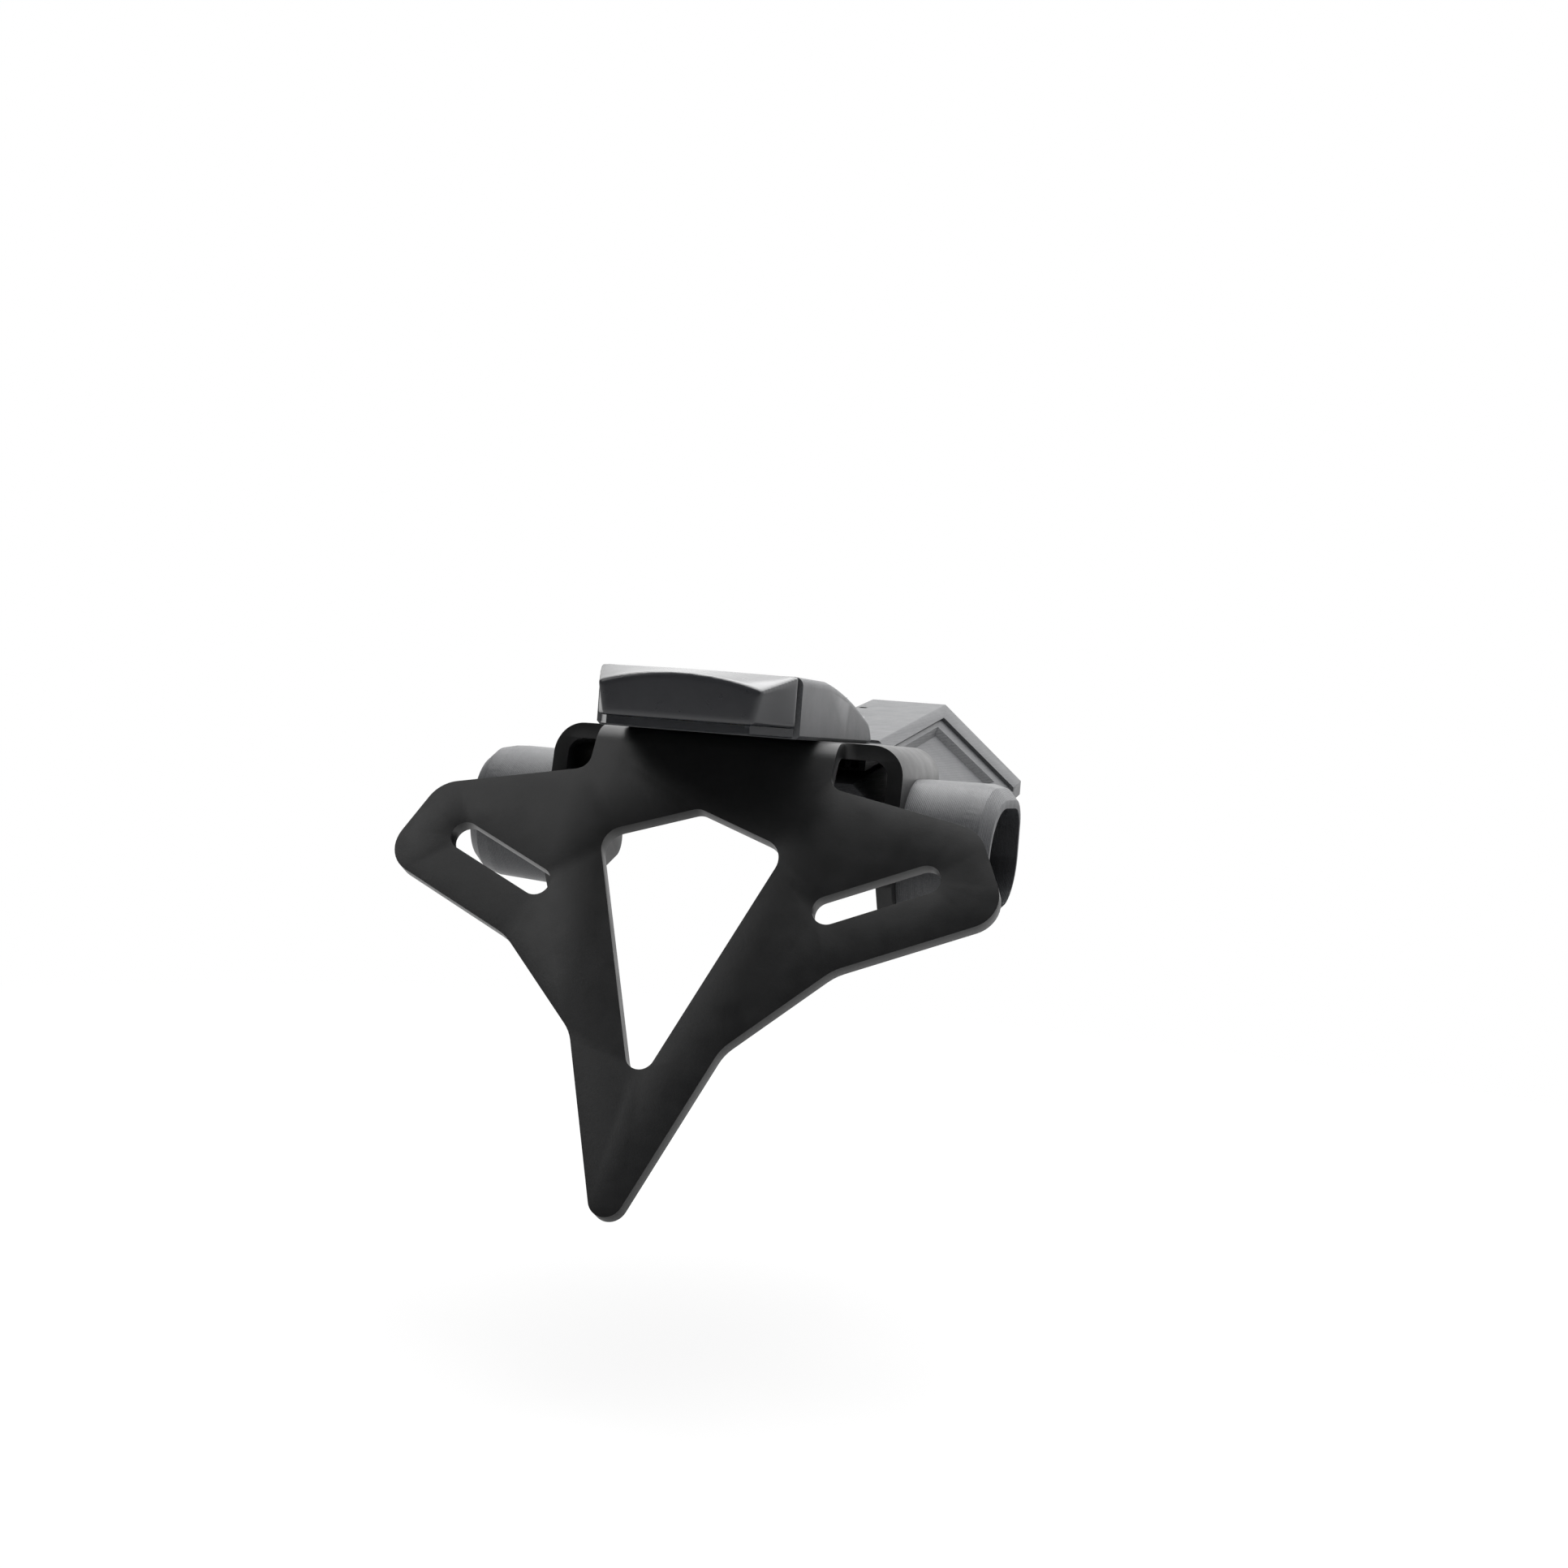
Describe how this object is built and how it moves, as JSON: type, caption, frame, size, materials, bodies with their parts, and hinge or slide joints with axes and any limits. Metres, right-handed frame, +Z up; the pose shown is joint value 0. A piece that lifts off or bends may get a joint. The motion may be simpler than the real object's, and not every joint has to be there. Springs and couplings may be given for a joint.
{
  "type": "license plate holder",
  "caption": "Folded sheet holder for a motorbike's number plate, with a plate light under a shroud, open indicator pods and a hood that bolts under the tail.",
  "frame": {"origin": "middle of the four bolt bores, on the flat top strip of the tail block", "axes": "+Y forward along the bike, +Z up, +X to the bike's right"},
  "size_m": [0.1548, 0.2073, 0.1275],
  "materials": {
    "powder_black": "fine matt black powder coat",
    "nylon_grey": "dark grey sintered nylon",
    "steel": "zinc plated",
    "brass": "turned",
    "black_steel": "black oxide",
    "housing_black": "satin black",
    "clear_lens": "clear",
    "board": "solder mask",
    "lamps": "lamp bodies",
    "rubber_black": "matt"
  },
  "bodies": {
    "root": {"plate_bracket": "powder_black", "tail_block": "nylon_grey", "mount_sleeves": "steel", "block_inserts": "brass", "block_bolts": "black_steel", "block_washers": "steel", "left_pod": "nylon_grey", "right_pod": "nylon_grey", "left_pod_bolts": "black_steel", "right_pod_bolts": "black_steel", "left_pod_washers": "steel", "right_pod_washers": "steel", "left_pod_nuts": "steel", "right_pod_nuts": "steel", "light_housing": "housing_black", "light_lens": "clear_lens", "light_board": "board", "light_leds": "lamps", "light_gasket": "rubber_black", "light_screws": "black_steel", "light_shroud": "nylon_grey", "shroud_screws": "black_steel", "cable_grommet": "rubber_black"}
  },
  "joints": []
}
